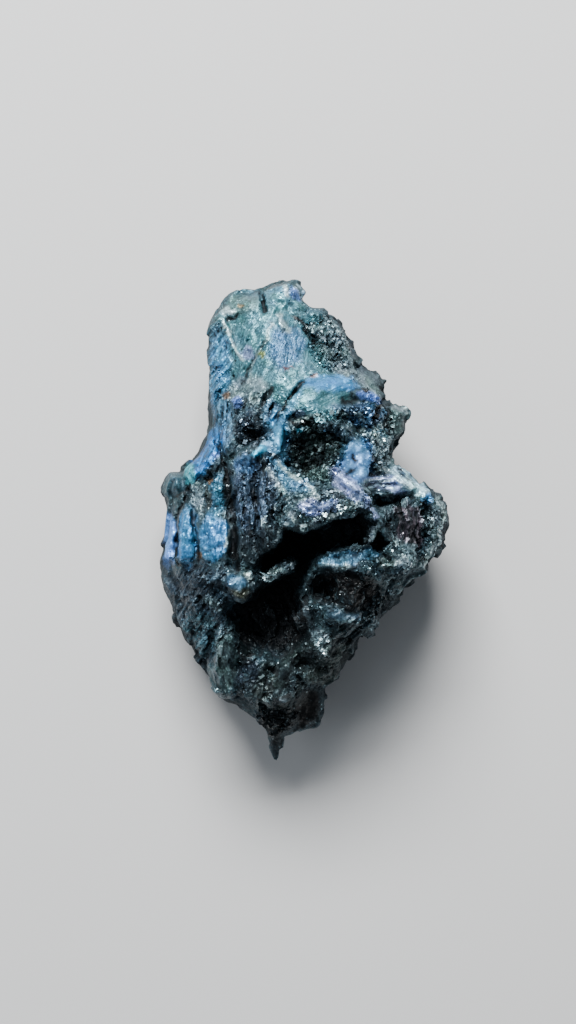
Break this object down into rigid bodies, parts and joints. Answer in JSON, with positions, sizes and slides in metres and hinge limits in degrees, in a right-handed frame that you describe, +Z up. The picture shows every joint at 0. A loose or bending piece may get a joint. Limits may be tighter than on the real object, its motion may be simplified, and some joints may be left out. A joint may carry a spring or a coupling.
{
  "type": "chalcocite specimen",
  "caption": "Natural lump of tarnished chalcocite ore, long and pointed, with a hollowed, ridged face; lies on its back for display or study.",
  "frame": {"origin": "on the surface that the lump rests on, under the middle of its box", "axes": "+X to the right and +Y to the top of the sculptured face as it is usually looked at, +Z up, out of that face"},
  "size_m": [0.0342, 0.057, 0.0241],
  "materials": {
    "tarnished_ore": "near-black semi-metallic sulphide, tarnished blue and teal on its smooth faces and sparkling where it is broken"
  },
  "bodies": {
    "root": {"chalcocite_specimen": "tarnished_ore"}
  },
  "joints": []
}
